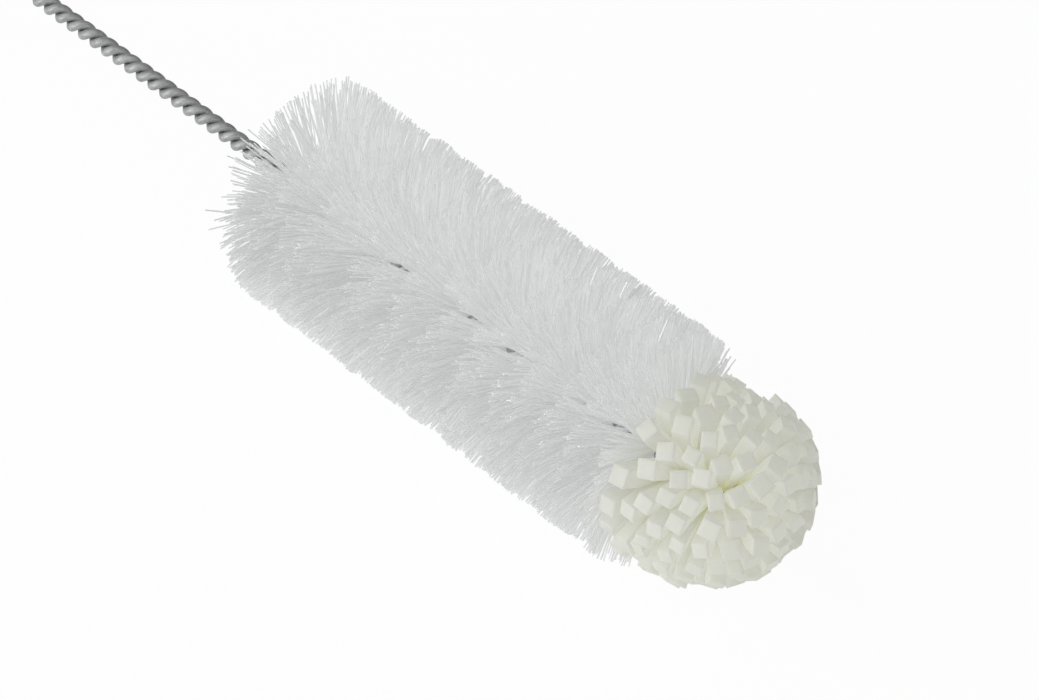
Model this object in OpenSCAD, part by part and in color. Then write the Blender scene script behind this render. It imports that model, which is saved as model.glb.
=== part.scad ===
// Bottle brush with a twisted wire stem, nylon bristles and a ball of foam fingers at the tip.
// The brush lies on its bristles along X, with the foam tip at +X and the surface at z = 0.

/* [Stem wire] */
// Diameter of the wire
wire_d = 2.0; // [1.7:0.05:2.1]
// Length of one full turn of the twist
twist_pitch = 7.3; // [7.2:0.1:9]
// Length of the bare twisted stem, from the eye to the first bristle
grip_len = 100; // [60:1:200]
// Gap between the two strands along the bare stem
strand_gap = 0.1; // [0.06:0.02:0.2]
// Room between each strand and the filaments that it clamps
clamp_clear = 0.19; // [0.18:0.01:0.2]
// Length over which the strands open from one gap to the other
opening_len = 4; // [3:0.5:8]
// Length of wire past the last foam strip
wire_end = 1; // [0.5:0.1:3]

/* [Hanging eye] */
// Inside diameter of the eye
eye_d = 18; // [12:0.5:30]
// Radius of the bend where each leg leaves the twist for the eye
eye_bend = 8; // [5:0.5:12]
// Length over which the twist starts, next to the eye
twist_start = 8; // [6:0.5:14]

/* [Bristles] */
// Diameter over the bristle tips
head_d = 50; // [40:1:60]
// Length of stem that carries bristles
head_len = 102; // [80:1:160]
// Diameter of one filament
filament_d = 0.36; // [0.3:0.01:0.37]
// Gap between neighbouring filaments where they are clamped
filament_gap = 0.045; // [0.04:0.005:0.1]
// How far the tips lean back at the end next to the stem
lean_at_stem = 3.5; // [1:0.5:10]
// How far the tips lean back at the end next to the foam
lean_at_foam = 0.5; // [0:0.5:4]
// How far a tip stands to one side of its root
splay = 2.2; // [1:0.1:3]
// How unevenly the filaments are cut
uneven_cut = 0.4; // [0:0.1:1]
// How far the brush's own weight presses the bristles that it lies on
pressed = 1.2; // [0.6:0.1:2]

/* [Foam tip] */
// Radius from the ball's centre to the ends of the fingers
ball_r = 20.8; // [18:0.2:24]
// Length of the ball's straight part, behind its centre
ball_back = 9.5; // [7:0.5:14]
// Length of stem that carries foam
foam_len = 17; // [16:0.5:24]
// Distance from the last foam strip back to the ball's centre
tip_to_centre = 7.5; // [4:0.5:9]
// Side of a finger's square end
finger_w = 3.7; // [3:0.1:4]
// Gap between neighbouring strips where they are pinched between the strands
pinch_gap = 0.18; // [0.16:0.01:0.2]
// Room between each strand and the strips that it pinches
pinch_clear = 0.22; // [0.21:0.01:0.23]
// How far each finger stays pinched outside the stem before it widens
pinch_len = 2; // [1:0.1:4]
// Room between the last bristles and the first foam strip
foam_gap = 2.5; // [2:0.1:5]

/* [Hidden] */
bristle_nodes = 17;
foam_nodes = 12;
strips_per_node = 6;

// Fineness of the wire's mesh and of the filaments' curves
wire_sides = 8;
grip_rings = 11;
clamp_rings = 9;
bend_rings = 6;
eye_rings = 28;
bow_fn = 180;
filament_fn = 16;

// How fast the bristles' lean dies away, their least lean and the steps that clear them of the surface
lean_fade = 2.5;
least_lean = 0.2;
clearing_steps = 4;

// How the fingers start out over the ball, how far off they feel each other and how they are rolled
end_stagger = [0, 4, -4];
end_turn = 6;
spread_steps = 14;
spread_window = 24;
spread_reach = 7.5;
finger_roll = 20;
same_place = 0.001;

// Two layers of filaments, side by side, set the gap between the strands that clamp them
axis_h = head_d / 2 - pressed;
filament_step = filament_d + filament_gap;
filament_offset = filament_step / 2;
filament_pairs = floor(head_len / filament_step);
clamp_gap = filament_d + filament_step + 2 * clamp_clear;
wire_r = wire_d / 2;
bare_r = wire_r + strand_gap / 2;
clamp_r = wire_r + clamp_gap / 2;

// Two layers of strips are pinched into the same gap, and bend only outside the strands
bend_clear = 0.3;
strip_count = foam_nodes * strips_per_node;
strip_step = foam_len / (strip_count / 2);
pinch_w = (clamp_gap - pinch_gap) / 2 - pinch_clear;
strip_offset = (pinch_w + pinch_gap) / 2;
pinch_reach = clamp_r + wire_r + bend_clear;

// Stations along the stem, from the start of the twist
head_x0 = grip_len;
head_x1 = head_x0 + head_len;
foam_x0 = head_x1 + foam_gap;
foam_x1 = foam_x0 + foam_len;
wire_x1 = foam_x1 + wire_end;
ball_x = foam_x1 - tip_to_centre;

// Share of the ball's skin that lies on its round front
front_share = ball_r / (ball_r + ball_back);

// Eye: a circle joined to the twist by two bends
eye_r = eye_d / 2 + wire_r;
eye_x = -sqrt(pow(eye_r + eye_bend, 2) - pow(bare_r + eye_bend, 2));
bend_turn = acos((bare_r + eye_bend) / (eye_r + eye_bend));
centre_x = (eye_x - eye_r - wire_r + ball_x + ball_r) / 2;

function numbered(name, i) = str(name, i < 10 ? "0" : "", i);
function unit(v) = v / norm(v);
function clamped(v, lo, hi) = max(lo, min(hi, v));
function smooth(t) = let (c = clamped(t, 0, 1)) c * c * (3 - 2 * c);
function total(vectors) = [for (v = vectors) 1] * vectors;

// Direction across the stem at an angle about it
function across(angle) = [0, cos(angle), sin(angle)];

// Angle of the first strand about the stem. The twist is left-handed.
function strand_angle(x) =
    -360 / twist_pitch * (x < twist_start ? x * x / (2 * twist_start) : x - twist_start / 2);

// Angle at which whatever is clamped at x stands out from between the strands
function clamp_angle(x) = strand_angle(x) + 90;

// Distance of each strand's centre from the stem's axis
function strand_r(x) =
    bare_r + (clamp_r - bare_r) * smooth((x - head_x0 + opening_len) / opening_len);

// Stations of the rings of a strand, close together where the stem is bare
function strand_stations() = let (
    bare = head_x0 - opening_len,
    n1 = ceil(bare / twist_pitch * grip_rings),
    n2 = ceil((wire_x1 - bare) / twist_pitch * clamp_rings)
) concat(
    [for (i = [1:n1]) bare * i / n1],
    [for (i = [1:n2]) bare + (wire_x1 - bare) * i / n2]
);

// Each entry is a point of the wire's centre line with the direction that faces away from the stem
function strand_path(turn) = [
    for (x = strand_stations()) let (out = across(strand_angle(x) + turn))
    [[x, 0, 0] + strand_r(x) * out, out]
];
function bend_path(side) = [
    for (i = [0:bend_rings]) let (a = bend_turn * i / bend_rings)
    [
        [-eye_bend * sin(a), side * (bare_r + eye_bend - eye_bend * cos(a)), 0],
        [-sin(a), side * cos(a), 0]
    ]
];
function eye_path() = let (start = 90 - bend_turn, sweep = 360 - 2 * start) [
    for (i = [1:eye_rings - 1]) let (a = start + sweep * i / eye_rings, out = [cos(a), sin(a), 0])
    [[eye_x, 0, 0] + eye_r * out, out]
];
function reversed(list) = [for (i = [len(list) - 1:-1:0]) list[i]];
function wire_path() = concat(
    reversed(strand_path(0)), bend_path(1), eye_path(), reversed(bend_path(-1)), strand_path(180)
);

// A round wire swept along a path, with the flats of its rings as far inside as the corners are outside
module swept_wire(path, d, sides) {
    last = len(path) - 1;
    ring_r = d / 2 / sqrt(cos(180 / sides));
    points = [
        for (i = [0:last]) let (
            along = unit(path[min(i + 1, last)][0] - path[max(i - 1, 0)][0]),
            out = unit(path[i][1] - (path[i][1] * along) * along),
            beside = cross(along, out)
        )
        for (k = [0:sides - 1]) let (a = 360 * (k + 0.5) / sides)
        path[i][0] + ring_r * (cos(a) * out + sin(a) * beside)
    ];
    walls = [
        for (i = [0:last - 1], k = [0:sides - 1]) let (
            a = i * sides + k,
            b = i * sides + (k + 1) % sides
        )
        each [[a, b + sides, b], [a, a + sides, b + sides]]
    ];
    first_end = [for (k = [0:sides - 1]) k];
    last_end = [for (k = [sides - 1:-1:0]) last * sides + k];
    polyhedron(points, concat(walls, [first_end, last_end]));
}

module stem_wire() {
    color([0.62, 0.64, 0.66])
    swept_wire(wire_path(), wire_d, wire_sides);
}

// How far a bristle's tip leans back at station x
function lean_back(x) = let (to_go = clamped((head_x1 - x) / head_len, 0, 1))
    lean_at_foam + (lean_at_stem - lean_at_foam) * pow(to_go, lean_fade);

// Height of the lowest edge of a bowed filament's cut end above the surface it lies on
function end_height(root, out, bow, bow_r, a) = let (steep = out.z * cos(a) + bow.z * sin(a))
    axis_h + root.z + out.z * bow_r * sin(a) + bow.z * bow_r * (1 - cos(a))
    - filament_d / 2 * sqrt(1 - steep * steep);

// Shortens the bowed filament's angle until its end clears the surface
function cleared(root, out, bow, bow_r, a, tries = clearing_steps) = let (
    top = axis_h + root.z,
    low = end_height(root, out, bow, bow_r, a),
    share = low < 0 ? top / (top - low) : 1
) tries == 0 ? a : cleared(root, out, bow, bow_r, a * share, tries - 1);

// A bowed filament: its root, the way it stands out, the way it bows, the bow's radius and both angles
function filament_arc(index, side) = let (
    chance = rands(-1, 1, 4, 7 * index + 3 * side),
    x = head_x0 + (index + 0.5) * filament_step,
    out = across(clamp_angle(x)),
    beside = cross([1, 0, 0], out),
    root = [x, 0, 0] + side * filament_offset * beside,
    back = max(lean_back(x) + chance[0], least_lean),
    aside = splay + chance[1] * splay / 2,
    reach = head_d / 2,
    bend = norm([back, aside]),
    bow_r = (reach * reach + bend * bend) / (2 * bend),
    bow = (side * aside * beside - [back, 0, 0]) / bend,
    turn = asin(reach / bow_r),
    cut = uneven_cut / bow_r * 180 / PI,
    a1 = cleared(root, out, bow, bow_r, turn - cut * abs(chance[2])),
    a2 = cleared(root, -out, bow, bow_r, turn - cut * abs(chance[3]))
) [root, out, bow, bow_r, a1, a2];

// One filament, clamped at its middle, with both halves bowed back towards the stem
module filament(index, side) {
    arc = filament_arc(index, side);
    out = arc[1];
    bow = arc[2];
    bow_r = arc[3];
    centre = arc[0] + bow_r * bow;
    normal = cross(-bow, out);
    multmatrix([
        [-bow.x, out.x, normal.x, centre.x],
        [-bow.y, out.y, normal.y, centre.y],
        [-bow.z, out.z, normal.z, centre.z]
    ])
    rotate([0, 0, -arc[5]])
    rotate_extrude(angle = arc[4] + arc[5], $fn = bow_fn)
    translate([bow_r, 0])
    circle(d = filament_d, $fn = filament_fn);
}

// The filaments are shared out evenly over their nodes
function first_pair(group) = floor(group * filament_pairs / bristle_nodes);

module bristles(group) {
    color([0.93, 0.94, 0.94])
    for (i = [first_pair(group):first_pair(group + 1) - 1], side = [-1, 1]) filament(i, side);
}

// Point on the ball's skin, given the share of the skin in front of it, counted from the ball's centre
function skin_point(share, angle) = let (
    tilt = acos(clamped(1 - share / front_share, -1, 1)),
    back = ball_back * (share - front_share) / (1 - front_share)
) share < front_share
    ? [ball_r * cos(tilt), 0, 0] + ball_r * sin(tilt) * across(angle)
    : [-back, 0, 0] + ball_r * across(angle);

// Nearest point on the ball's skin
function on_skin(p) = let (
    core = [clamped(p.x, -ball_back, 0), 0, 0],
    q = core + ball_r * unit(p - core)
) [max(q.x, -ball_back), q.y, q.z];

// Where the finger ends start out, in the order of their roots from the tip backwards
function strip_x(i) = foam_x1 - (floor(i / 2) + 0.5) * strip_step;
function first_ends() = [
    for (i = [0:strip_count - 1]) let (
        side = i % 2 * 2 - 1,
        stagger = end_stagger[floor(i / 2) % len(end_stagger)],
        share = clamped((i + 0.5 + stagger) / strip_count, 0.5 / strip_count, 1 - 0.5 / strip_count)
    )
    skin_point(share, clamp_angle(strip_x(i)) + side * end_turn)
];

// The fingers push each other apart until they are evenly spread over the ball
function opposite(p) = [p.x, -p.y, -p.z];
function pushes(ends, i) = [
    for (j = [max(0, i - spread_window):min(strip_count - 1, i + spread_window)])
    for (q = [ends[j], opposite(ends[j])]) let (d = ends[i] - q, far = norm(d))
    if (far > same_place && far < spread_reach) d / far * (1 - far / spread_reach)
];
function spread(ends, steps) = steps == 0 ? ends : spread(
    [for (i = [0:strip_count - 1]) on_skin(ends[i] + total(pushes(ends, i)))],
    steps - 1
);

// Distance from one finger's end to the nearest other
function room(ends, i) = min([
    for (j = [0:strip_count - 1]) for (q = [ends[j], opposite(ends[j])])
    let (far = norm(ends[i] - q)) if (far > same_place) far
]);

// A square bar that widens from its root to its far end
module tapered_bar(root, tip, w, roll) {
    along = tip - root;
    reach = norm(along);
    half = pinch_w / 2;
    profile = [
        [-half, -half], [half, -half], [half, pinch_len],
        [w / 2, reach], [-w / 2, reach], [-half, pinch_len]
    ];
    translate(root)
    rotate([0, acos(along.z / reach), atan2(along.y, along.x)])
    rotate([0, 0, roll])
    intersection() {
        rotate([90, 0, 0]) linear_extrude(height = w, center = true) polygon(profile);
        rotate([90, 0, 90]) linear_extrude(height = w, center = true) polygon(profile);
    }
}

// One foam strip, pinched at its middle, with a finger at each end
module foam_strip(ends, i) {
    partner = i + 1 - 2 * (i % 2);
    side = i % 2 * 2 - 1;
    x = strip_x(i);
    out = across(clamp_angle(x));
    root = [x, 0, 0] + side * strip_offset * cross([1, 0, 0], out);
    tips = [ends[i], opposite(ends[partner])];
    rooms = [room(ends, i), room(ends, partner)];
    roll = rands(-finger_roll, finger_roll, 2, 11 * i);
    translate(root)
    rotate([clamp_angle(x), 0, 0])
    cube([pinch_w, 2 * pinch_reach, pinch_w], center = true);
    for (end = [0, 1])
        tapered_bar(
            root + (1 - 2 * end) * pinch_reach * out,
            [ball_x, 0, 0] + tips[end],
            min(finger_w, rooms[end] / sqrt(2)),
            roll[end]
        );
}

module foam_strips(group) {
    ends = spread(first_ends(), spread_steps);
    color([0.97, 0.97, 0.9])
    for (i = [group * strips_per_node:(group + 1) * strips_per_node - 1])
        foam_strip(ends, i);
}

// Sets the brush down on its bristles, centred over the origin
module laid() {
    translate([-centre_x, 0, axis_h]) children();
}

laid() stem_wire();
for (i = [1:bristle_nodes])
    laid() bristles(i - 1);
for (i = [1:foam_nodes])
    laid() foam_strips(i - 1);
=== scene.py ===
"""A bottle brush: a twisted wire stem with a hanging eye, a round head of nylon bristles
and a ball of foam fingers.

The brush lies on its bristles along X, with the foam tip at +X and the surface at z = 0.
"""

import math
import bmesh
import bpy
import numpy as np
from mathutils import Matrix, Vector


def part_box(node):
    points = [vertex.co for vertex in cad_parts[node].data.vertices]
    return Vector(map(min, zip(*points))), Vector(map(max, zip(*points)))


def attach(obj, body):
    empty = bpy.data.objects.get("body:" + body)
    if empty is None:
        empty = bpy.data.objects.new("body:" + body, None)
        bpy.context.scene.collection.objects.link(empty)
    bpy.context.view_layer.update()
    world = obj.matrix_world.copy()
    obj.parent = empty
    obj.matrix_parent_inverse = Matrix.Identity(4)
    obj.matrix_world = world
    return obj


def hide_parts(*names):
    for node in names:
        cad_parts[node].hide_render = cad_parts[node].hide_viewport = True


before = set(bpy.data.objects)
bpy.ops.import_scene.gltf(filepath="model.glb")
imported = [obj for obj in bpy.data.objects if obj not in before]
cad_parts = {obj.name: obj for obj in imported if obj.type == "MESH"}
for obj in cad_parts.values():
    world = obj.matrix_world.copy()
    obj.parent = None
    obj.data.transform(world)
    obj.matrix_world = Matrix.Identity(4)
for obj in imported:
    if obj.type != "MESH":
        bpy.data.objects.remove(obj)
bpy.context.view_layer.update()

bl_info = {
    "name": "Bottle Brush",
    "version": (1, 0, 0),
    "blender": (4, 5, 0),
    "location": "3D View > Sidebar > Brush",
    "description": "Builds a bottle brush with a wire stem, nylon bristles and a foam ball",
    "category": "Add Mesh",
}

MM = 0.001
BODY = "root"
STEM_NODE = "stem_wire"
BRISTLE_NODES = sorted(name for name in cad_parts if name.startswith("bristles_"))
FOAM_NODES = sorted(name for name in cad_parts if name.startswith("foam_strips_"))

# Directions: along the stem to its tip, and across it to the side that is lower in the main view.
TO_TIP = np.array([1.0, 0, 0])
TO_LOW_SIDE = np.array([0, -0.85, -0.53])


# ---------------------------------------------------------------- sizes and colours


class StemSettings(bpy.types.PropertyGroup):
    """Sizes of the twisted wire and its eye"""

    wire_d: bpy.props.FloatProperty(
        name="Wire",
        description="Diameter of the wire",
        default=2.0 * MM,
        unit="LENGTH",
    )
    twist_pitch: bpy.props.FloatProperty(
        name="Twist pitch",
        description="Length of one full turn of the twist",
        default=7.3 * MM,
        unit="LENGTH",
    )
    grip_len: bpy.props.FloatProperty(
        name="Bare stem",
        description="Length from the eye to the first bristle",
        default=100 * MM,
        unit="LENGTH",
    )
    strand_gap: bpy.props.FloatProperty(
        name="Strand gap",
        description="Gap between the strands of the bare stem",
        default=0.1 * MM,
        unit="LENGTH",
    )
    clamp_gap: bpy.props.FloatProperty(
        name="Clamp gap",
        description="Gap between the strands in the head",
        default=1.145 * MM,
        unit="LENGTH",
    )
    opening_len: bpy.props.FloatProperty(
        name="Opening",
        description="Length over which the strands open",
        default=4 * MM,
        unit="LENGTH",
    )
    eye_d: bpy.props.FloatProperty(
        name="Eye",
        description="Inside diameter of the hanging eye",
        default=18 * MM,
        unit="LENGTH",
    )
    eye_bend: bpy.props.FloatProperty(
        name="Eye bend",
        description="Radius of the bends that lead into the eye",
        default=8 * MM,
        unit="LENGTH",
    )
    twist_start: bpy.props.FloatProperty(
        name="Twist start",
        description="Length over which the twist starts",
        default=8 * MM,
        unit="LENGTH",
    )
    wire_end: bpy.props.FloatProperty(
        name="Wire end",
        description="Length of wire past the last foam strip",
        default=1 * MM,
        unit="LENGTH",
    )
    colour: bpy.props.FloatVectorProperty(
        name="Colour",
        description="Colour of the galvanised wire",
        default=(0.385, 0.395, 0.385),
        size=3,
        subtype="COLOR",
    )


class BristleSettings(bpy.types.PropertyGroup):
    """Sizes of the bristle head"""

    head_d: bpy.props.FloatProperty(
        name="Head diameter",
        description="Diameter over the bristle tips",
        default=50 * MM,
        unit="LENGTH",
    )
    head_len: bpy.props.FloatProperty(
        name="Head length",
        description="Length of stem that carries bristles",
        default=102 * MM,
        unit="LENGTH",
    )
    filament_d: bpy.props.FloatProperty(
        name="Filament",
        description="Diameter of one filament",
        default=0.3 * MM,
        unit="LENGTH",
    )
    per_node: bpy.props.IntProperty(
        name="Filaments per group",
        description="Number of filaments in each group",
        default=376,
        min=1,
    )
    lean_at_stem: bpy.props.FloatProperty(
        name="Lean at the stem",
        description="How far the tips lean back at the stem end",
        default=3.5 * MM,
        unit="LENGTH",
    )
    lean_at_foam: bpy.props.FloatProperty(
        name="Lean at the foam",
        description="How far the tips lean back next to the foam",
        default=0.5 * MM,
        unit="LENGTH",
    )
    pressed: bpy.props.FloatProperty(
        name="Pressed",
        description="How far the brush's weight presses its bristles",
        default=1.2 * MM,
        unit="LENGTH",
    )
    colour: bpy.props.FloatVectorProperty(
        name="Colour",
        description="Colour of the nylon",
        default=(0.85, 0.85, 0.845),
        size=3,
        subtype="COLOR",
    )


class FoamSettings(bpy.types.PropertyGroup):
    """Sizes of the foam ball"""

    foam_gap: bpy.props.FloatProperty(
        name="Foam gap",
        description="Room between the bristles and the first strip",
        default=2.5 * MM,
        unit="LENGTH",
    )
    foam_len: bpy.props.FloatProperty(
        name="Foam length",
        description="Length of stem that carries foam",
        default=17 * MM,
        unit="LENGTH",
    )
    strips: bpy.props.IntProperty(
        name="Strips",
        description="Number of foam strips",
        default=72,
        min=2,
    )
    tip_to_centre: bpy.props.FloatProperty(
        name="Tip to centre",
        description="From the last foam strip to the ball's centre",
        default=7.5 * MM,
        unit="LENGTH",
    )
    strip_offset: bpy.props.FloatProperty(
        name="Strip offset",
        description="From the stem's axis to a strip's middle",
        default=0.22 * MM,
        unit="LENGTH",
    )
    pinch_w: bpy.props.FloatProperty(
        name="Pinched width",
        description="Side of a strip between the strands",
        default=0.26 * MM,
        unit="LENGTH",
    )
    end_colour: bpy.props.FloatVectorProperty(
        name="End colour",
        description="Colour of the finger ends",
        default=(0.862, 0.862, 0.815),
        size=3,
        subtype="COLOR",
    )
    # Painted shade and painted yellow inter-reflection: the darker, yellower colour that the foam
    # takes deep in the ball, between the fingers.
    deep_painted_shade_colour: bpy.props.FloatVectorProperty(
        name="Core colour",
        description="Colour of the foam deep in the ball",
        default=(0.72, 0.69, 0.34),
        size=3,
        subtype="COLOR",
    )


class StageSettings(bpy.types.PropertyGroup):
    """Camera and floor"""

    azimuth: bpy.props.FloatProperty(
        name="Azimuth",
        description="Direction of the camera about the vertical",
        default=math.radians(44.4),
        subtype="ANGLE",
    )
    elevation: bpy.props.FloatProperty(
        name="Elevation",
        description="Height of the camera above the floor",
        default=math.radians(47.8),
        subtype="ANGLE",
    )
    distance: bpy.props.FloatProperty(
        name="Distance",
        description="From the camera to the foam ball",
        default=815 * MM,
        unit="LENGTH",
    )
    lens: bpy.props.FloatProperty(
        name="Lens",
        description="Focal length on a 36 mm sensor",
        default=147,
        unit="CAMERA",
    )
    floor_colour: bpy.props.FloatVectorProperty(
        name="Floor",
        description="Colour of the floor",
        default=(0.95, 0.95, 0.95),
        size=3,
        subtype="COLOR",
    )


# ---------------------------------------------------------------- shader maths


class Signal:
    """A value, colour or vector in a material, so that its maths reads as an expression."""

    def __init__(self, surface, socket):
        self.surface = surface
        self.socket = socket

    def _join(self, operation, first, second):
        """Adds a Math node, or a Vector Math node where a colour or vector takes part."""
        types = [part.socket.type for part in (first, second) if isinstance(part, Signal)]
        kind = "ShaderNodeMath"
        if "VECTOR" in types or "RGBA" in types:
            kind = "ShaderNodeVectorMath"
        return self.surface.node(kind, {"operation": operation}, {0: first, 1: second})

    def __add__(self, other):
        return self._join("ADD", self, other)

    def __radd__(self, other):
        return self._join("ADD", other, self)

    def __sub__(self, other):
        return self._join("SUBTRACT", self, other)

    def __rsub__(self, other):
        return self._join("SUBTRACT", other, self)

    def __mul__(self, other):
        return self._join("MULTIPLY", self, other)

    def __rmul__(self, other):
        return self._join("MULTIPLY", other, self)

    def between(self, low, high):
        """0 below low, 1 above high and even in between."""
        sockets = {"Value": self, "From Min": low, "From Max": high}
        return self.surface.node("ShaderNodeMapRange", {"clamp": True}, sockets)

    def mix(self, first, second):
        """The first colour where this value is 0 and the second where it is 1."""
        # The colour sockets share their names with others, so they go by number.
        sockets = {0: self, 6: first, 7: second}
        return self.surface.node("ShaderNodeMix", {"data_type": "RGBA"}, sockets, out=2)


class Surface:
    """A material or world, whose nodes are added one by one."""

    def __init__(self, owner):
        self.owner = owner
        owner.use_nodes = True
        self.tree = owner.node_tree
        self.tree.nodes.clear()

    def node(self, kind, settings=None, inputs=None, out=0):
        """Adds a node: its settings first, then the values or links of its sockets."""
        made = self.tree.nodes.new(kind)
        for name, value in (settings or {}).items():
            setattr(made, name, value)
        for name, value in (inputs or {}).items():
            socket = made.inputs[name]
            if isinstance(value, Signal):
                self.tree.links.new(value.socket, socket)
            elif socket.type == "RGBA" and len(value) == 3:
                socket.default_value = (*value, 1)
            elif socket.type == "VECTOR" and not hasattr(value, "__len__"):
                socket.default_value = (value, value, value)
            else:
                socket.default_value = value
        return Signal(self, made.outputs[out]) if made.outputs else None


def new_material(name):
    return Surface(bpy.data.materials.new(name))


def shaded(colour, factor):
    return [min(1.0, c * factor) for c in colour]


# ---------------------------------------------------------------- materials


def wire_material(settings):
    """Galvanised wire: dull zinc with drawing lines along each strand and a mottled tone."""
    s = new_material("galvanised_wire")
    along = s.node("ShaderNodeUVMap", {"uv_map": "along"})
    lines = s.node(
        "ShaderNodeTexNoise",
        {"noise_dimensions": "2D"},
        {"Vector": along * (16.0, 0.12, 1.0), "Scale": 1.0, "Detail": 4.0, "Roughness": 0.65},
    )
    place = s.node("ShaderNodeTexCoord", out="Object")
    mottle = s.node(
        "ShaderNodeTexNoise",
        None,
        {"Vector": place, "Scale": 900.0, "Detail": 3.0, "Roughness": 0.6},
    )
    shade = (lines * 0.5 + mottle * 0.5).between(0.3, 0.7)
    height = lines * 0.7 + mottle * 0.3
    bump = s.node(
        "ShaderNodeBump",
        None,
        {"Height": height, "Strength": 0.35, "Distance": 0.05 * MM},
    )
    shader = s.node(
        "ShaderNodeBsdfPrincipled",
        None,
        {
            "Base Color": shade.mix(shaded(settings.colour, 0.62), shaded(settings.colour, 1.3)),
            "Metallic": 0.8,
            "Roughness": 0.45 + 0.2 * mottle,
            "Normal": bump,
        },
    )
    s.node("ShaderNodeOutputMaterial", None, {"Surface": shader})
    return s.owner


def nylon_material(settings):
    """Clear white nylon: each filament has its own gloss and tone, and light passes through it.
    Near the stem its colour is painted a little darker, as shade deep in the head.
    """
    s = new_material("nylon_filament")
    pick = s.node("ShaderNodeAttribute", {"attribute_name": "pick"}, out="Fac")
    reach = s.node("ShaderNodeAttribute", {"attribute_name": "reach"}, out="Fac")
    # Painted shade: at their middles, by the stem, the filaments are 5 % darker; towards the tips
    # their tone differs at random.
    root = shaded(settings.colour, 0.95)
    tone = pick.mix(root, shaded(settings.colour, 1.03))
    gloss = s.node(
        "ShaderNodeBsdfPrincipled",
        None,
        {
            "Base Color": reach.between(0.0, 0.6).mix(root, tone),
            "Roughness": 0.15 + 0.15 * pick,
            "IOR": 1.53,
            "Coat Weight": 0.2,
            "Coat Roughness": 0.1,
        },
    )
    through = s.node("ShaderNodeBsdfTranslucent", None, {"Color": tuple(settings.colour)})
    shader = s.node("ShaderNodeMixShader", None, {0: 0.5, 1: gloss, 2: through})
    s.node("ShaderNodeOutputMaterial", None, {"Surface": shader})
    return s.owner


def foam_material(settings):
    """Open-cell foam with fine pores: off-white at the cut ends, and darker and yellower deep in
    the ball, as painted shade and painted inter-reflection between the fingers.
    """
    s = new_material("cut_foam")
    place = s.node("ShaderNodeTexCoord", out="Object")
    reach = s.node("ShaderNodeAttribute", {"attribute_name": "reach"}, out="Fac")
    pores = s.node(
        "ShaderNodeTexVoronoi",
        None,
        {"Vector": place, "Scale": 3600.0, "Randomness": 1.0},
    )
    mottle = s.node(
        "ShaderNodeTexNoise",
        None,
        {"Vector": place, "Scale": 700.0, "Detail": 4.0, "Roughness": 0.6},
    )
    # The foam is slightly yellow; its darker, yellower colour towards the ball's core is painted
    # shade and painted inter-reflection.
    outside = (reach + 0.15 * (mottle - 0.5)).between(0.4, 0.85)
    colour = outside.mix(tuple(settings.deep_painted_shade_colour), tuple(settings.end_colour))
    grain = (pores * 0.5 + mottle * 0.8).between(0.3, 1.1).mix((0.9, 0.9, 0.9), (1.0, 1.0, 1.0))
    bump = s.node(
        "ShaderNodeBump",
        None,
        {"Height": pores * 0.6 + mottle * 0.4, "Strength": 0.55, "Distance": 0.12 * MM},
    )
    matte = s.node(
        "ShaderNodeBsdfPrincipled",
        None,
        {
            "Base Color": grain * colour,
            "Roughness": 0.9,
            "Specular IOR Level": 0.15,
            "Normal": bump,
        },
    )
    through = s.node("ShaderNodeBsdfTranslucent", None, {"Color": tuple(settings.end_colour)})
    shader = s.node("ShaderNodeMixShader", None, {0: 0.45, 1: matte, 2: through})
    s.node("ShaderNodeOutputMaterial", None, {"Surface": shader})
    return s.owner


def floor_material(settings):
    """A pale floor that cameras and mirrors see as nearly white, and that still takes a shadow."""
    s = new_material("floor_paint")
    seen = s.node("ShaderNodeLightPath", out="Is Camera Ray")
    mirrored = s.node("ShaderNodeLightPath", out="Is Glossy Ray")
    paint = s.node("ShaderNodeBsdfDiffuse", None, {"Color": settings.floor_colour})
    white = s.node("ShaderNodeEmission", None, {"Color": (1, 1, 1), "Strength": 1.0})
    share = seen * 0.94 + mirrored * 0.9
    shader = s.node("ShaderNodeMixShader", None, {0: share, 1: paint, 2: white})
    s.node("ShaderNodeOutputMaterial", None, {"Surface": shader})
    return s.owner


def studio_world():
    """Soft light from all round, weaker from the far side, with a background seen as white."""
    s = Surface(bpy.data.worlds.new("studio"))
    seen = s.node("ShaderNodeLightPath", out="Is Camera Ray")
    ways = s.node("ShaderNodeTexCoord", out="Generated")
    far_side = s.node("ShaderNodeSeparateXYZ", None, {"Vector": ways}, out="Y")
    height = s.node("ShaderNodeSeparateXYZ", None, {"Vector": ways}, out="Z").between(0, 1)
    strength = 0.65 + 0.05 * height - 0.45 * far_side
    soft = s.node("ShaderNodeBackground", None, {"Color": (1, 1, 1), "Strength": strength})
    white = s.node("ShaderNodeBackground", None, {"Color": (1, 1, 1), "Strength": 1.0})
    shader = s.node("ShaderNodeMixShader", None, {0: seen, 1: soft, 2: white})
    s.node("ShaderNodeOutputWorld", None, {"Surface": shader})
    return s.owner


# ---------------------------------------------------------------- meshes


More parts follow.
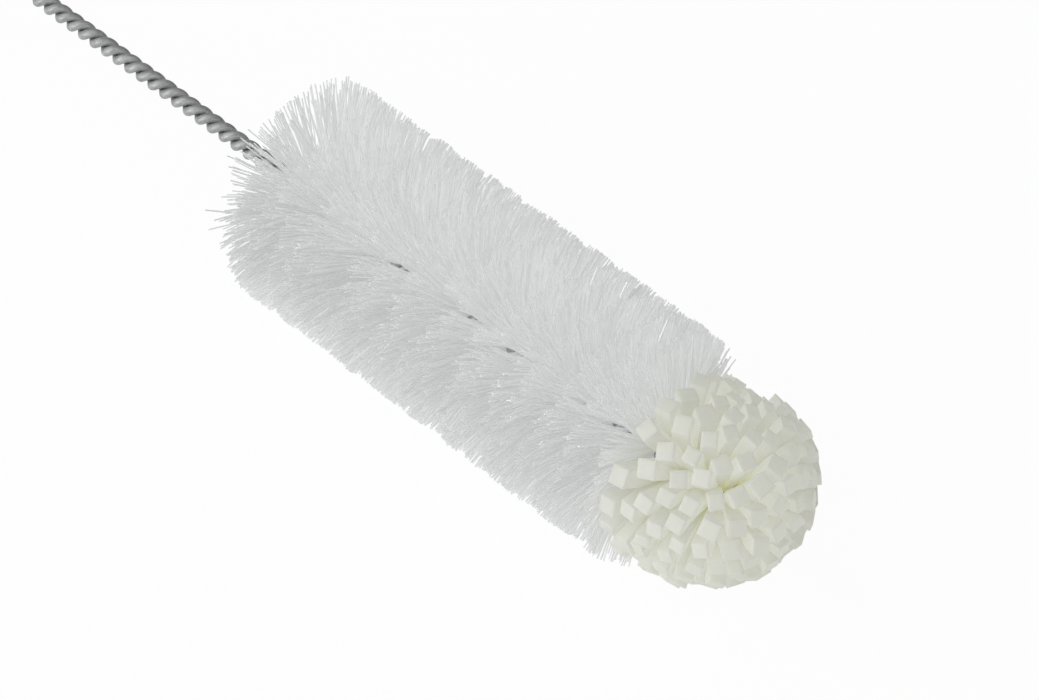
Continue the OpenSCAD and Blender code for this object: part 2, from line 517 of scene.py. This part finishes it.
def loft(name, rings, material, reach=None, pick=None, rounded=True):
    """A mesh of closed tubes, from rings of the shape tubes, stations, sides, 3.

    reach and pick are kept on its points, and rounded tubes are shaded smooth.
    """
    tubes, stations, sides = rings.shape[:3]
    per_tube = stations * sides
    starts = np.arange(tubes)[:, None] * per_tube
    low = starts[:, :, None] + np.arange(stations - 1)[None, :, None] * sides
    here = np.arange(sides)[None, None, :]
    after = (here + 1) % sides
    corners = [low + here, low + after, low + sides + after, low + sides + here]
    quads = np.stack(corners, axis=-1).reshape(-1, 4)
    first_caps = (starts + np.arange(sides)[None, ::-1]).reshape(-1)
    last_caps = (starts + per_tube - sides + np.arange(sides)).reshape(-1)
    loops = np.concatenate([quads.reshape(-1), first_caps, last_caps])
    totals = np.concatenate([np.full(len(quads), 4), np.full(2 * tubes, sides)])
    smooth = np.concatenate([np.full(len(quads), rounded), np.zeros(2 * tubes, bool)])

    mesh = bpy.data.meshes.new(name)
    mesh.vertices.add(tubes * per_tube)
    mesh.vertices.foreach_set("co", rings.reshape(-1).astype(np.float32))
    mesh.loops.add(len(loops))
    mesh.loops.foreach_set("vertex_index", loops.astype(np.int32))
    mesh.polygons.add(len(totals))
    mesh.polygons.foreach_set("loop_start", (np.cumsum(totals) - totals).astype(np.int32))
    mesh.polygons.foreach_set("loop_total", totals.astype(np.int32))
    mesh.update(calc_edges=True)
    mesh.polygons.foreach_set("use_smooth", smooth)
    for label, values in (("reach", reach), ("pick", pick)):
        if values is not None:
            values = np.broadcast_to(values, (tubes, stations, sides)).reshape(-1)
            mesh.attributes.new(label, "FLOAT", "POINT").data.foreach_set("value", values)
    mesh.materials.append(material)
    piece = bpy.data.objects.new(name, mesh)
    bpy.context.scene.collection.objects.link(piece)
    return piece


def unit(v):
    return v / np.linalg.norm(v, axis=-1, keepdims=True)


def smooth_step(t):
    c = np.clip(t, 0, 1)
    return c * c * (3 - 2 * c)


def across(angle):
    """Direction across the stem at an angle about it."""
    return np.stack([np.zeros_like(angle), np.cos(angle), np.sin(angle)], axis=-1)


def tube(path, radius, normal, sides):
    """Rings of a round tube along paths of the shape tubes, stations, 3."""
    along = unit(np.gradient(path, axis=1))
    out = unit(normal - (normal * along).sum(-1, keepdims=True) * along)
    beside = np.cross(along, out)
    turn = (2 * math.pi * (np.arange(sides) + 0.5) / sides)[:, None]
    circle = np.cos(turn) * out[:, :, None, :] + np.sin(turn) * beside[:, :, None, :]
    return path[:, :, None, :] + radius * circle


# ---------------------------------------------------------------- the stem's geometry

WIRE_SIDES = 20
RINGS_PER_TURN = 30
BEND_RINGS = 16
EYE_RINGS = 90


class Layout:
    """Places along the brush, in the frame's metres, worked out from the settings."""

    def __init__(self, scene):
        self.stem = scene.brush_stem
        self.bristles = scene.brush_bristles
        self.foam = scene.brush_foam
        self.wire_r = self.stem.wire_d / 2
        self.bare_r = self.wire_r + self.stem.strand_gap / 2
        self.clamp_r = self.wire_r + self.stem.clamp_gap / 2
        self.head_x0 = self.stem.grip_len
        self.head_x1 = self.head_x0 + self.bristles.head_len
        self.axis_h = self.bristles.head_d / 2 - self.bristles.pressed
        self.eye_r = self.stem.eye_d / 2 + self.wire_r
        from_eye = self.eye_r + self.stem.eye_bend
        from_stem = self.bare_r + self.stem.eye_bend
        self.eye_x = -math.sqrt(from_eye**2 - from_stem**2)
        self.bend_turn = math.acos(from_stem / from_eye)
        self.start_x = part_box(STEM_NODE)[0].x + self.eye_r + self.wire_r - self.eye_x
        self.foam_x1 = self.head_x1 + self.foam.foam_gap + self.foam.foam_len
        self.wire_x1 = self.foam_x1 + self.stem.wire_end
        self.ball_x = self.foam_x1 - self.foam.tip_to_centre

    def placed(self, points):
        """From the stem's own stations to the frame."""
        return points + np.array([self.start_x, 0, self.axis_h])

    def strand_angle(self, x):
        """Angle of the first strand about the stem. The twist is left-handed."""
        ramp = self.stem.twist_start
        turned = np.where(x < ramp, x * x / (2 * ramp), x - ramp / 2)
        return -2 * math.pi / self.stem.twist_pitch * turned

    def clamp_angle(self, x):
        """Angle at which what is clamped between the strands stands out."""
        return self.strand_angle(x) + math.pi / 2

    def strand_r(self, x):
        """Distance from the stem's axis to a strand's middle, which grows at the head."""
        opened = smooth_step((x - self.head_x0 + self.stem.opening_len) / self.stem.opening_len)
        return self.bare_r + (self.clamp_r - self.bare_r) * opened

    def strand(self, turn):
        """A twisted strand's line from the eye to its cut end, with its outward directions."""
        count = math.ceil(self.wire_x1 / self.stem.twist_pitch * RINGS_PER_TURN)
        x = self.wire_x1 * np.arange(1, count + 1) / count
        out = across(self.strand_angle(x) + turn)
        return x[:, None] * TO_TIP + self.strand_r(x)[:, None] * out, out

    def bend(self, side):
        """One of the two bends from the stem into the eye."""
        a = self.bend_turn * np.arange(BEND_RINGS + 1) / BEND_RINGS
        r = self.stem.eye_bend
        zero = np.zeros_like(a)
        line = np.stack([-r * np.sin(a), side * (self.bare_r + r - r * np.cos(a)), zero], axis=-1)
        return line, np.stack([-np.sin(a), side * np.cos(a), zero], axis=-1)

    def eye(self):
        """The eye's circle between the two bends."""
        start = math.pi / 2 - self.bend_turn
        a = start + (2 * math.pi - 2 * start) * np.arange(1, EYE_RINGS) / EYE_RINGS
        out = np.stack([np.cos(a), np.sin(a), np.zeros_like(a)], axis=-1)
        return np.array([self.eye_x, 0, 0]) + self.eye_r * out, out


def backwards(span):
    return [part[::-1] for part in span]


def build_stem(layout):
    """The folded and twisted wire, from one cut end through the eye to the other."""
    spans = (
        backwards(layout.strand(0)),
        layout.bend(1),
        layout.eye(),
        backwards(layout.bend(-1)),
        layout.strand(math.pi),
    )
    path, out = (np.concatenate(parts) for parts in zip(*spans))
    rings = tube(path[None], layout.wire_r, out[None], WIRE_SIDES)
    piece = loft("stem_wire_twisted", layout.placed(rings), wire_material(layout.stem))
    steps = np.linalg.norm(np.diff(path, axis=0), axis=1)
    write_along(piece, np.concatenate([[0], np.cumsum(steps)]) / MM)
    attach(piece, BODY)
    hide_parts(STEM_NODE)


def write_along(piece, travelled):
    """A map of the wire: its girth's share across, and the millimetres from its end along."""
    mesh = piece.data
    points = np.zeros(len(mesh.loops), np.int32)
    mesh.loops.foreach_get("vertex_index", points)
    around = points % WIRE_SIDES / WIRE_SIDES
    starts = np.zeros(len(mesh.polygons), np.int32)
    mesh.polygons.foreach_get("loop_start", starts)
    quads = starts[:-2]
    for corner in (1, 2):  # the corners on a quad's far side, which close the girth at 1
        far = quads + corner
        around[far] = np.where(around[far] == 0, 1.0, around[far])
    across_along = np.stack([around, travelled[points // WIRE_SIDES]], axis=-1)
    layer = mesh.uv_layers.new(name="along")
    layer.data.foreach_set("uv", across_along.reshape(-1).astype(np.float32))


# ---------------------------------------------------------------- bristles

BRISTLE_SEED = 7
FILAMENT_SIDES = 4
HALF_STATIONS = 7  # from a filament's middle to its tip
ROLL = 40  # at most, in radians: it spreads the flat sides of filaments over all directions
CLAMP_SHARE = 0.3  # of the clamping gap, to either side, that the roots take up
FIRST_GROUP_CROWDING = 0.6  # below 1, the first group thins out towards the bare stem
TUFT_LEN = 0.17 * MM  # mean length of stem that one tuft takes
TUFT_SPLAY = 0.3  # of the twist, by which a tuft opens out

# What is added to the settings' lean, in millimetres: on the low side, everywhere and near the
# foam, and on the high side at the two ends of the head.
LEAN_LOW = 1.2
LEAN_ALL = -1.0
LEAN_NEAR_FOAM = 2.2
LEAN_HIGH_AT_STEM = 6.5
LEAN_HIGH_AT_FOAM = 5.5
STEM_END_LEN = 6 * MM
FOAM_END_LEN = 15 * MM

# The very first filaments straggle back over the bare stem, mostly on the high side.
STRAGGLE = 2.0 * MM
STRAGGLE_LEN = 2.5 * MM

# How far tips stop short of the head's skin, in millimetres: everywhere, and on the low side
# more at the stem and less towards the foam.
TRIM_ALL = 0.5
TRIM_LOW_AT_STEM = 0.3
TRIM_LOW_CHANGE = 0.55

# How far tips stray: sideways about the stem, back along it, and short of the head's skin. A
# tuft's filaments share one stray, each has one of its own, and a few wild ones stray widely.
FAN_BY_TUFT = math.radians(1.6)
FAN_BY_FILAMENT = math.radians(5)
FAN_IF_WILD = math.radians(12)
BACK_BY_TUFT = 0.35 * MM
BACK_BY_FILAMENT = 0.7 * MM
BACK_IF_WILD = 3.5 * MM
SHORT_BY_TUFT = 0.15 * MM
SHORT_BY_FILAMENT = 0.2 * MM
WILD_SHARE = 0.012
WILD_SHARE_AT_STEM = 0.2
WILD_LEN = 4 * MM
CURL = 0.22 * MM

# Slow waves in the strays, which run along the head and around it.
WAVES = 20
FAN_BY_WAVE = math.radians(1.1)
BACK_BY_WAVE = 0.35 * MM
SHORT_BY_WAVE = 0.2 * MM

# Where filaments part and the wire shows: millimetres along the head, and to one side of the
# stem. All the gaps are open towards the same side, at this angle about the stem.
PARTINGS = ((29.5, 1.2), (50.5, 0.9), (60.5, 2.0), (80.0, 1.8), (91.0, 1.3))
PARTING_SIDE = math.radians(123)
PARTING_ROOM = 0.75 * MM  # to either side of a parting's middle
PARTING_ARC = 0.9  # how far about the stem filaments are turned aside
PARTING_FROM = 2 * MM  # from the stem outward
PARTING_LEAST = 0.08  # share of a filament below which it counts as straight
PARTING_SLANT = 0.6  # how far a gap runs along the stem for its height
PARTING_SLANT_CHANGE = 0.0013  # less for each millimetre along the head


def lean_back(layout, x, low_side):
    """How far tips lean back along the stem, before any straying."""
    b = layout.bristles
    to_go = np.clip((layout.head_x1 - x) / b.head_len, 0, 1)
    near_stem = np.exp((layout.head_x0 - x) / STEM_END_LEN)
    near_foam = np.exp((x - layout.head_x1) / FOAM_END_LEN)
    lean = b.lean_at_stem * to_go**2.5 + b.lean_at_foam * (1 - to_go**2.5)
    lean = lean + MM * (LEAN_LOW * low_side + LEAN_ALL + LEAN_NEAR_FOAM * near_foam)
    high = LEAN_HIGH_AT_STEM * near_stem + LEAN_HIGH_AT_FOAM * near_foam**2
    return lean - MM * low_side * high


def tufts(rng, x):
    """Which tuft each root belongs to, and how far it stands from the tuft's middle."""
    count = int(3 * np.ptp(x) / TUFT_LEN) + 3
    edges = x.min() + np.cumsum(rng.gamma(3, TUFT_LEN / 3, count))
    tuft = np.searchsorted(edges, x)
    sums = np.bincount(tuft, x, len(edges) + 1)
    counts = np.maximum(np.bincount(tuft, minlength=len(edges) + 1), 1)
    return tuft, x - (sums / counts)[tuft]


def wave_swing(waves, x, azimuth):
    """What the waves add to each filament's three strays: sideways, back and short."""
    swing = np.zeros((3, len(x)))
    for pace, turns, phase, push in waves:
        swing += push[:, None] * np.sin(pace * x / MM + turns * azimuth + phase)
    return swing


def tip_strays(layout, rng, waves, x, azimuth):
    """How far each tip turns sideways and lies back along the stem, and its filament's length."""
    b = layout.bristles
    n = len(x)
    low_side = across(azimuth) @ TO_LOW_SIDE
    tuft, off = tufts(rng, x)
    count = tuft.max() + 1
    swing = wave_swing(waves, x, azimuth)
    wild_share = WILD_SHARE + WILD_SHARE_AT_STEM * np.exp(-(x - layout.head_x0) / WILD_LEN)
    wild = rng.uniform(0, 1, n) < wild_share
    fan = (
        rng.normal(0, FAN_BY_TUFT, count)[tuft]
        + rng.normal(0, FAN_BY_FILAMENT, n)
        + rng.normal(0, FAN_IF_WILD, n) * wild
        + TUFT_SPLAY * off * (2 * math.pi / layout.stem.twist_pitch)
        + FAN_BY_WAVE * swing[0]
    )
    first = np.exp((layout.head_x0 - x) / STRAGGLE_LEN)
    back = (
        lean_back(layout, x, low_side)
        + STRAGGLE * first * (1 - 0.8 * low_side) * rng.uniform(0, 2, n)
        + rng.normal(0, BACK_BY_TUFT, count)[tuft]
        + rng.normal(0, BACK_BY_FILAMENT, n)
        + rng.normal(0, BACK_IF_WILD, n) * wild
        + BACK_BY_WAVE * swing[1]
    )
    short = np.abs(rng.normal(0, SHORT_BY_TUFT, count))[tuft]
    short = short + np.abs(rng.normal(0, SHORT_BY_FILAMENT, n))
    short = short + SHORT_BY_WAVE * np.maximum(swing[2], 0)
    trim_low = TRIM_LOW_AT_STEM - TRIM_LOW_CHANGE * (x - layout.head_x0) / b.head_len
    short = short + MM * (TRIM_ALL + low_side * trim_low)
    return fan, back, b.head_d / 2 - short


def filament_halves(layout, rng, waves, x, layer, end):
    """Lines from the clamp at x to the tips of the filaments' halves at one end, 1 or -1."""
    clamp = layout.clamp_angle(x)
    azimuth = clamp + (0 if end > 0 else math.pi)
    out = across(azimuth)[:, None, :]
    fan, back, length = tip_strays(layout, rng, waves, x, azimuth)
    fan = fan + parted(layout, x, azimuth, layer * end, fan, length)
    root = x[:, None] * TO_TIP + layer[:, None] * np.cross(TO_TIP, across(clamp))
    s = np.linspace(0, 1, HALF_STATIONS)[None, :, None]
    curl = rng.normal(0, CURL, len(x))[:, None, None] * np.sin(math.pi * s)
    outward = (length * np.cos(fan))[:, None, None]
    sideways = (length * np.sin(fan))[:, None, None]
    return (
        root[:, None, :]
        + s * outward * out
        + (s**1.5 * sideways + curl) * np.cross(TO_TIP, out)
        - (s**2 * back[:, None, None] + 0.6 * curl) * TO_TIP
    )


def parted(layout, x, azimuth, start, fan, length):
    """How far filaments turn aside where they would cover the wire at a parting."""
    turned = np.zeros_like(x)
    from_side = np.remainder(azimuth - PARTING_SIDE + math.pi, 2 * math.pi) - math.pi
    for place, beside in PARTINGS:
        slant = PARTING_SLANT - PARTING_SLANT_CHANGE * place
        for step in (-1.0, -0.5, 0.0, 0.5, 1.0):
            height = (x - layout.head_x0 - (place + step) * MM) / slant
            swept = np.clip(height / length, PARTING_LEAST, 1) ** 1.5 * length
            now = start + height * np.sin(from_side) + swept * np.sin(fan + turned) - beside * MM
            room = PARTING_ROOM * (1 - 0.3 * abs(step))
            in_reach = (height > PARTING_FROM) & (height < length)
            in_reach &= np.abs(from_side) < PARTING_ARC
            aside = (np.where(now > 0, room, -room) - now) / swept
            turned = turned + np.where(in_reach & (np.abs(now) < room), aside, 0)
    return turned


def above_floor(path, layout, radius):
    """Bends what would pass through the surface, so that it ends just above it."""
    low = path[:, :, 2] + layout.axis_h - radius
    path = path.copy()
    path[:, :, 2] -= np.minimum(low, 0)
    return path


def build_bristles(layout):
    """Each group of filaments, with the lean, bow and flat underside of the solids it replaces."""
    b = layout.bristles
    n = b.per_node
    rng = np.random.default_rng(BRISTLE_SEED)
    material = nylon_material(b)
    group_len = b.head_len / len(BRISTLE_NODES)
    waves = [
        (rng.uniform(0.65, 1.3), rng.integers(0, 4), rng.uniform(0, 7), rng.normal(0, 1, 3))
        for _ in range(WAVES)
    ]
    for group, node in enumerate(BRISTLE_NODES):
        place = np.sort(rng.uniform(0, 1, n)) ** (1 if group else FIRST_GROUP_CROWDING)
        x = layout.head_x0 + group_len * (group + place)
        layer = rng.uniform(-CLAMP_SHARE, CLAMP_SHARE, n) * layout.stem.clamp_gap
        front, rear = (filament_halves(layout, rng, waves, x, layer, end) for end in (1, -1))
        path = np.concatenate([rear[:, :0:-1], front], axis=1)
        path = above_floor(path, layout, b.filament_d / 2)
        stations = path.shape[1]
        pick = rng.uniform(0, 1, n)
        roll = (ROLL * pick)[:, None]
        flat = np.cos(roll) * TO_TIP
        flat = flat + np.sin(roll) * np.cross(TO_TIP, across(layout.clamp_angle(x)))
        flat = np.repeat(flat[:, None, :], stations, axis=1)
        rings = layout.placed(tube(path, b.filament_d / 2, flat, FILAMENT_SIDES))
        reach = np.abs(np.linspace(-1, 1, stations))[None, :, None].astype(np.float32)
        pick = pick[:, None, None].astype(np.float32)
        piece = loft(f"{node}_dense", rings, material, reach, pick, rounded=False)
        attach(piece, BODY)
        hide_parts(node)
        piece.visible_shadow = False


# ---------------------------------------------------------------- foam

# How a node's mesh is read: points nearer than this are one, and each strip has this many points
# at its pinched middle and at its two cut ends.
SAME_POINT = 0.005 * MM
PINCHED_POINTS = 16
END_POINTS = 8

FOAM_SEED = 11
FINGER_STATIONS = 15
FINER = 4  # steps between two stations of a finger, where its neighbours are looked for
SIDE_ANGLES = (-41, -20, 0, 20, 41, 45)  # about a finger, for each of its four sides
SQUARENESS = 26  # the power that makes a finger's section nearly square
MEETING = 0.97  # of the way to the plane halfway between two fingers
KNEE_GAP = 0.3 * MM  # from the strands to where a finger bends
END_TILT = 0.12  # spread of the cut ends' slopes
END_CAP = ((0.96, 0.07), (0.6, 0.10), (0.25, 0.12))  # share of the width, and rise in mm

# Changes to the tips, in millimetres: a shift of those ahead of the ball's middle, a stray in
# length of all, and a trim of those behind the middle on the high side.
TIP_SHIFT_AHEAD = np.array([-1.7, 0.75, 0.4])
TIP_STRAY = (-0.25, 0.35)  # mean and spread
TIP_TRIM_BEHIND = 1.6


def islands(vertices):
    """Groups of vertices that edges join, always in the same order."""
    left = set(vertices)
    groups = []
    for vertex in sorted(vertices, key=lambda v: v.index):
        if vertex in left:
            left.remove(vertex)
            found = [vertex]
            for reached in found:
                near = {edge.other_vert(reached) for edge in reached.link_edges} & left
                left -= near
                found.extend(near)
            groups.append(sorted(found, key=lambda v: v.index))
    return groups


def strips_of(node, layout):
    """The pinched middle of each of a node's strips, and the four corners of its two cut ends."""
    joined = bmesh.new()
    joined.from_mesh(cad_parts[node].data)
    bmesh.ops.remove_doubles(joined, verts=joined.verts, dist=SAME_POINT)
    joined.verts.index_update()
    strips = []
    for solid in islands(joined.verts):
        inward = sorted(solid, key=lambda v: math.hypot(v.co.y, v.co.z - layout.axis_h))
        middle = np.median([v.co[:] for v in inward[:PINCHED_POINTS]], axis=0)
        outward = sorted(solid, key=lambda v: -np.linalg.norm(np.array(v.co) - middle))
        ends = [np.array([v.co[:] for v in end]) for end in islands(outward[:END_POINTS])]
        if [len(end) for end in ends] != [4, 4]:
            raise RuntimeError(f"{node}: a strip's ends have {[len(end) for end in ends]} corners")
        strips.append((middle, ends))
    joined.free()
    return strips


def finger_lines(layout, rng, middle, ends):
    """For each finger of a strip: its line from the clamp, its width and the way of one edge."""
    f = layout.foam
    strip_step = 2 * f.foam_len / f.strips
    pair = round((layout.start_x + layout.foam_x1 - middle[0]) / strip_step - 0.5)
    station = (layout.foam_x1 - (pair + 0.5) * strip_step) * TO_TIP
    out = across(layout.clamp_angle(station[0]))
    beside = np.cross(TO_TIP, out)
    side = 1 if (middle - layout.placed(station)) @ beside > 0 else -1
    root = layout.placed(station + side * f.strip_offset * beside)
    ball_x = layout.start_x + layout.ball_x
    t = np.linspace(0, 1, FINGER_STATIONS)[:, None]
    fingers = []
    for way, end in zip((1, -1), sorted(ends, key=lambda end: -(end.mean(0) - root) @ out)):
        knee = root + way * out * (layout.clamp_r + layout.wire_r + KNEE_GAP)
        tip = end.mean(0)
        ahead = smooth_step((tip[0] - ball_x) / (8 * MM))
        behind = smooth_step((ball_x + 3 * MM - tip[0]) / (5 * MM))
        high = max(unit(tip - root) @ -TO_LOW_SIDE, 0)
        tip = tip + ahead * MM * TIP_SHIFT_AHEAD
        longer = rng.normal(*TIP_STRAY) - TIP_TRIM_BEHIND * behind * high
        tip = tip + longer * MM * unit(tip - root)
        line = (1 - t) ** 2 * root + 2 * t * (1 - t) * knee + t**2 * tip
        from_corner = np.linalg.norm(end - end[0], axis=1)
        nearest = np.argsort(from_corner)[1]
        fingers.append((line, from_corner[nearest], unit(end[nearest] - end[0])))
    return fingers


def finer(lines):
    """The same lines with more stations."""
    last = lines.shape[1] - 1
    t = np.linspace(0, last, FINER * last + 1)
    low = np.minimum(t.astype(int), last - 1)
    part = (t - low)[None, :, None]
    return lines[:, low] * (1 - part) + lines[:, low + 1] * part


def room_around(point, directions, neighbours):
    """How far a finger may reach in each direction before it meets its neighbours halfway."""
    gaps = neighbours - point
    nearest = np.argmin((gaps**2).sum(-1), axis=1)
    gaps = gaps[np.arange(len(gaps)), nearest]
    facing = directions @ gaps.T
    halfway = 0.5 * (gaps**2).sum(-1) / np.maximum(facing, 1e-9)
    return np.where(facing > 1e-9, halfway, np.inf).min(axis=1)


def finger_rings(layout, rng, finger, neighbours):
    """Rings from the pinched middle to the cut end, and over the end to its middle."""
    line, width, edge = finger
    along = unit(np.gradient(line, axis=0))
    out = unit(edge - (edge * along).sum(-1, keepdims=True) * along)
    beside = np.cross(along, out)
    turn = np.radians(np.add.outer([0, 90, 180, 270], SIDE_ANGLES)).reshape(-1)
    c, s = np.cos(turn), np.sin(turn)
    half_out, half_beside = width / 2 * rng.uniform(0.98, 1.1, 2)
    square = (np.abs(c) / half_out) ** SQUARENESS + (np.abs(s) / half_beside) ** SQUARENESS
    square = square ** (-1 / SQUARENESS)
    pinched = layout.foam.pinch_w / 2
    from_stem = np.linalg.norm((line - layout.placed(np.zeros(3)))[:, 1:], axis=1)
    past_wire = line[:, 0] - layout.start_x - layout.wire_x1
    flare = pinched + np.maximum(from_stem - layout.clamp_r - layout.wire_r, 0)
    flare = np.maximum(flare, np.maximum(past_wire, 0))
    rings = []
    for k, point in enumerate(line):
        directions = c[:, None] * out[k] + s[:, None] * beside[k]
        radius = np.minimum(square, MEETING * room_around(point, directions, neighbours))
        radius = np.maximum(np.minimum(radius, flare[k]), pinched)
        rings.append(point + radius[:, None] * directions)
    tilt = rng.normal(0, END_TILT, 2)
    end, centre = rings[-1], line[-1]
    rings += [centre + (end - centre) * share + along[-1] * rise * MM for share, rise in END_CAP]
    rings = np.array(rings)
    tilted = rings[-1 - len(END_CAP) :]
    lean = (tilted - centre) @ out[-1] * tilt[0] + (tilted - centre) @ beside[-1] * tilt[1]
    tilted += lean[..., None] * along[-1]
    return rings


def join_halves(reversed_half, half):
    """One strip's rings, with the corners of both halves matched at the middle."""
    last, first = reversed_half[-1], half[0]
    sides = len(first)
    best_miss, best_order = math.inf, None
    for direction in (1, -1):
        for shift in range(sides):
            order = (np.arange(sides) * direction + shift) % sides
            miss = np.linalg.norm(last[order] - first, axis=1).sum()
            if miss < best_miss:
                best_miss, best_order = miss, order
    return np.concatenate([reversed_half[:, best_order], half[1:]])


def build_foam(layout):
    """Each group of foam strips, with crisp square ends, pinched between the strands."""
    rng = np.random.default_rng(FOAM_SEED)
    material = foam_material(layout.foam)
    owners, fingers = [], []
    for node in FOAM_NODES:
        for middle, ends in strips_of(node, layout):
            owners.append(node)
            fingers += finger_lines(layout, rng, middle, ends)
    lines = finer(np.array([line for line, _, _ in fingers]))
    reach = np.concatenate([np.linspace(0, 1, FINGER_STATIONS), np.ones(len(END_CAP))])
    reach = np.concatenate([reach[:0:-1], reach]).astype(np.float32)[None, :, None]
    for node in FOAM_NODES:
        strips = []
        for strip in (k for k, owner in enumerate(owners) if owner == node):
            front, rear = (
                finger_rings(layout, rng, fingers[k], np.delete(lines, k, axis=0))
                for k in (2 * strip, 2 * strip + 1)
            )
            strips.append(join_halves(rear[::-1], front))
        piece = loft(f"{node}_cut", np.array(strips), material, reach)
        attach(piece, BODY)
        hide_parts(node)
        piece.visible_shadow = False


# ---------------------------------------------------------------- stage

FLOOR_SIZE = 3.0

# Name, place, size and watts of each lamp. Both are a little blue and look at the head.
LAMPS = (
    ("low_side", (-0.3, -0.65, 0.14), 0.15, 1.35),
    ("stem_side", (-0.37, -0.29, 0.5), 0.1, 0.55),
)
LAMP_AIM = (0.05, 0, 0.02)
LAMP_COLOUR = (0.92, 0.96, 1.0)

# The frame in pixels, and where in it the middle of the foam ball falls.
FRAME_SIZE = (1039, 700)
BALL_IN_FRAME = (715.5, 487.4)
SENSOR_MM = 36


def add_to_scene(scene, name, data):
    holder = bpy.data.objects.new(name, data)
    scene.collection.objects.link(holder)
    return holder


def build_stage(scene, layout):
    """Floor, soft lamps, world and camera."""
    stage = scene.brush_stage
    mesh = bpy.data.meshes.new("floor")
    h = FLOOR_SIZE / 2
    mesh.from_pydata([(-h, -h, 0), (h, -h, 0), (h, h, 0), (-h, h, 0)], [], [(0, 1, 2, 3)])
    mesh.materials.append(floor_material(stage))
    add_to_scene(scene, "floor", mesh)
    scene.world = studio_world()
    for name, place, size, power in LAMPS:
        lamp = bpy.data.lights.new(name, "AREA")
        lamp.size = size
        lamp.energy = power
        lamp.color = LAMP_COLOUR
        holder = add_to_scene(scene, name, lamp)
        holder.location = place
        to_head = Vector(LAMP_AIM) - Vector(place)
        holder.rotation_euler = to_head.to_track_quat("-Z", "Y").to_euler()
    camera = bpy.data.cameras.new("camera")
    camera.lens = stage.lens
    camera.sensor_width = SENSOR_MM
    camera.clip_start = 0.01
    scene.camera = add_to_scene(scene, "camera", camera)
    scene.camera.matrix_world = camera_place(stage, layout)


def camera_place(stage, layout):
    """Where the camera stands, so that the foam ball's middle falls on its place in the frame."""
    a, e = stage.azimuth, stage.elevation
    back = Vector((math.cos(e) * math.sin(a), -math.cos(e) * math.cos(a), math.sin(e)))
    right = Vector((math.cos(a), math.sin(a), 0))
    up = back.cross(right)
    pixel = stage.distance / (stage.lens / SENSOR_MM * FRAME_SIZE[0])
    ball = Vector(layout.placed(layout.ball_x * TO_TIP))
    aim = ball - right * (BALL_IN_FRAME[0] - FRAME_SIZE[0] / 2) * pixel
    aim = aim + up * (BALL_IN_FRAME[1] - FRAME_SIZE[1] / 2) * pixel
    turn = Matrix((right, up, back)).transposed().to_4x4()
    return Matrix.Translation(aim + back * stage.distance) @ turn


# ---------------------------------------------------------------- operators and panel


class BRUSH_OT_stem(bpy.types.Operator):
    """Build the twisted wire stem with its hanging eye"""

    bl_idname = "brush.build_stem"
    bl_label = "Wire Stem"

    def execute(self, context):
        build_stem(Layout(context.scene))
        return {"FINISHED"}


class BRUSH_OT_bristles(bpy.types.Operator):
    """Build the groups of nylon bristles"""

    bl_idname = "brush.build_bristles"
    bl_label = "Bristles"

    def execute(self, context):
        build_bristles(Layout(context.scene))
        return {"FINISHED"}


class BRUSH_OT_foam(bpy.types.Operator):
    """Build the groups of foam strips"""

    bl_idname = "brush.build_foam"
    bl_label = "Foam Strips"

    def execute(self, context):
        build_foam(Layout(context.scene))
        return {"FINISHED"}


class BRUSH_OT_stage(bpy.types.Operator):
    """Set up the floor, the light and the camera"""

    bl_idname = "brush.build_stage"
    bl_label = "Stage"

    def execute(self, context):
        build_stage(context.scene, Layout(context.scene))
        return {"FINISHED"}


class BRUSH_PT_panel(bpy.types.Panel):
    """Lists the brush's sizes and building steps"""

    bl_label = "Bottle Brush"
    bl_idname = "BRUSH_PT_panel"
    bl_space_type = "VIEW_3D"
    bl_region_type = "UI"
    bl_category = "Brush"

    def draw(self, context):
        for name, (_, step) in STEPS.items():
            settings = getattr(context.scene, name)
            box = self.layout.box()
            for size in settings.__annotations__:
                box.prop(settings, size)
            box.operator(step)


# For each name of settings in the scene: their class, and the step that builds from them.
STEPS = {
    "brush_stem": (StemSettings, "brush.build_stem"),
    "brush_bristles": (BristleSettings, "brush.build_bristles"),
    "brush_foam": (FoamSettings, "brush.build_foam"),
    "brush_stage": (StageSettings, "brush.build_stage"),
}
CLASSES = (BRUSH_OT_stem, BRUSH_OT_bristles, BRUSH_OT_foam, BRUSH_OT_stage, BRUSH_PT_panel)


def register():
    for name, (settings, _) in STEPS.items():
        bpy.utils.register_class(settings)
        setattr(bpy.types.Scene, name, bpy.props.PointerProperty(type=settings))
    for cls in CLASSES:
        bpy.utils.register_class(cls)


def unregister():
    for cls in reversed(CLASSES):
        bpy.utils.unregister_class(cls)
    for name, (settings, _) in STEPS.items():
        delattr(bpy.types.Scene, name)
        bpy.utils.unregister_class(settings)


def main():
    register()
    bpy.ops.brush.build_stage()
    bpy.ops.brush.build_stem()
    bpy.ops.brush.build_bristles()
    bpy.ops.brush.build_foam()
    bpy.context.scene.view_settings.view_transform = "Standard"


if __name__ == "__main__":
    main()
